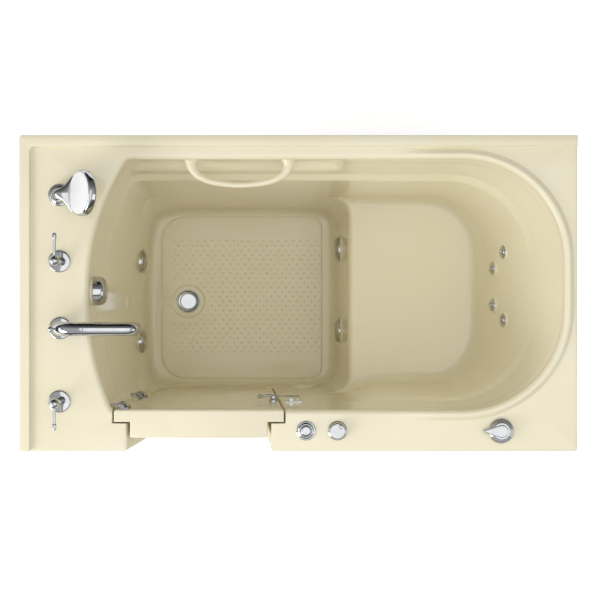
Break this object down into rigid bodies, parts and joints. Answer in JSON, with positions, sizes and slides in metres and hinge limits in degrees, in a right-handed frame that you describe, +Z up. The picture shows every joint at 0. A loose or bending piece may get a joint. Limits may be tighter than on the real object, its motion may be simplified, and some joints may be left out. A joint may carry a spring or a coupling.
{
  "type": "jetted bathtub",
  "caption": "Walk-in jetted bathtub with an inward door, seat, deck taps with hand shower, jets, drain and steel frame.",
  "frame": {"origin": "centre of the footprint, on the floor under the levelling feet", "axes": "+X towards the seat end, +Y towards the wall behind the tub, -Y the door side, +Z up"},
  "size_m": [1.346, 0.762, 1.0855],
  "materials": {
    "acrylic": "gloss",
    "chrome": "polished",
    "steel": "satin",
    "zinc_plate": "satin",
    "brass": "satin",
    "pvc": "matte",
    "black_plastic": "matte",
    "seal_rubber": "matte",
    "spray_face": "gloss",
    "motor_paint": "satin",
    "board": "matte",
    "box_plastic": "matte",
    "fan_plastic": "matte"
  },
  "bodies": {
    "tub": {"tub_shell": "acrylic", "front_access_panel": "acrylic", "front_fixed_panels": "acrylic", "end_panel": "acrylic", "grab_bar": "acrylic", "latch_keeper": "chrome", "deck_flanges": "chrome", "spout": "chrome", "aerator": "chrome", "handset_holder": "chrome", "drain_flange": "chrome", "jet_rings": "chrome", "back_jet_faces": "chrome", "suction_cover": "chrome", "air_button_bezel": "chrome", "air_control_base": "chrome", "selector_body": "chrome", "frame_base": "steel", "frame_posts": "steel", "hinge_jamb_leaves": "steel", "hinge_pins": "steel", "panel_screws": "zinc_plate", "levelling_feet": "zinc_plate", "foot_nuts": "zinc_plate", "air_button_spring": "zinc_plate", "tap_valves": "brass", "jet_bodies": "pvc", "water_manifold": "pvc", "suction_pipe": "pvc", "drain_body": "black_plastic", "overflow_body": "black_plastic", "overflow_tube": "black_plastic", "pump_wet_end": "black_plastic", "blower_housing": "black_plastic", "pump_motor": "motor_paint", "equipment_board": "board", "control_box": "box_plastic"},
    "door": {"door_inner_panel": "acrylic", "door_outer_panel": "acrylic", "door_seal": "seal_rubber", "hinge_door_leaves": "steel", "latch_base": "chrome"},
    "latch": {"latch_lever": "chrome"},
    "hot_tap": {"hot_handle": "chrome"},
    "cold_tap": {"cold_handle": "chrome"},
    "spout_knob": {"spout_diverter_knob": "chrome"},
    "hand_shower": {"handset": "chrome", "handset_face": "spray_face"},
    "overflow_dial": {"overflow_cover": "chrome"},
    "plug": {"drain_plug": "chrome"},
    "jet_1": {"jet_nozzle_1": "chrome"},
    "jet_2": {"jet_nozzle_2": "chrome"},
    "jet_3": {"jet_nozzle_3": "chrome"},
    "jet_4": {"jet_nozzle_4": "chrome"},
    "impeller": {"pump_impeller": "black_plastic"},
    "fan": {"blower_fan": "fan_plastic"},
    "pump_button": {"air_button": "chrome"},
    "air_dial": {"air_control_knob": "chrome"},
    "selector": {"selector_knob": "chrome"}
  },
  "joints": [
    {"name": "door_swing", "type": "hinge", "parent": "tub", "child": "door", "pos_m": [-0.432, -0.27, 0.6], "axis": [0, 0, 1], "range_deg": [0, 90]},
    {"name": "latch_turn", "type": "hinge", "parent": "door", "child": "latch", "pos_m": [-0.066, -0.272, 0.728], "axis": [0, 1, 0], "range_deg": [0, 90]},
    {"name": "hot_turn", "type": "hinge", "parent": "tub", "child": "hot_tap", "pos_m": [-0.577, 0.07742, 0.98], "axis": [0, 0, 1], "range_deg": [0, 90]},
    {"name": "cold_turn", "type": "hinge", "parent": "tub", "child": "cold_tap", "pos_m": [-0.577, -0.26053, 0.98], "axis": [0, 0, -1], "range_deg": [0, 90]},
    {"name": "spout_knob_lift", "type": "slide", "parent": "tub", "child": "spout_knob", "axis": [0, 0, 1], "range_m": [0, 0.012]},
    {"name": "hand_shower_lift", "type": "slide", "parent": "tub", "child": "hand_shower", "axis": [0, 0, 1], "range_m": [0, 0.08]},
    {"name": "overflow_turn", "type": "hinge", "parent": "tub", "child": "overflow_dial", "pos_m": [-0.501, 0.006, 0.905], "axis": [1, 0, 0], "range_deg": [0, 90]},
    {"name": "plug_lift", "type": "slide", "parent": "tub", "child": "plug", "axis": [0, 0, 1], "range_m": [0, 0.008]},
    {"name": "jet_1_turn", "type": "hinge", "parent": "tub", "child": "jet_1", "pos_m": [-0.474, 0.101, 0.256], "axis": [1, 0, 0], "range_deg": [-90, 90]},
    {"name": "jet_2_turn", "type": "hinge", "parent": "tub", "child": "jet_2", "pos_m": [-0.474, -0.14, 0.256], "axis": [1, 0, 0], "range_deg": [-90, 90]},
    {"name": "jet_3_turn", "type": "hinge", "parent": "tub", "child": "jet_3", "pos_m": [0.123, 0.137, 0.256], "axis": [-1, 0, 0], "range_deg": [-90, 90]},
    {"name": "jet_4_turn", "type": "hinge", "parent": "tub", "child": "jet_4", "pos_m": [0.123, -0.107, 0.256], "axis": [-1, 0, 0], "range_deg": [-90, 90]},
    {"name": "impeller_spin", "type": "hinge", "parent": "tub", "child": "impeller", "pos_m": [0.335, 0.015, 0.19], "axis": [1, 0, 0], "continuous": true},
    {"name": "fan_spin", "type": "hinge", "parent": "tub", "child": "fan", "pos_m": [0.53, -0.19, 0.12], "axis": [0, 0, 1], "continuous": true},
    {"name": "button_press", "type": "slide", "parent": "tub", "child": "pump_button", "axis": [0, 0, -1], "range_m": [0, 0.004], "stiffness_N_per_m": 600, "deforming": ["air_button_spring"]},
    {"name": "air_control_turn", "type": "hinge", "parent": "tub", "child": "air_dial", "pos_m": [0.094, -0.331, 0.97], "axis": [0, 0, 1], "range_deg": [0, 180]},
    {"name": "selector_turn", "type": "hinge", "parent": "tub", "child": "selector", "pos_m": [0.488, -0.331, 0.97], "axis": [0, 0, 1], "range_deg": [-90, 90]}
  ],
  "couplings": [
    {"joint": "plug_lift", "follows": "overflow_turn", "m_per_rad": 0.005093}
  ]
}
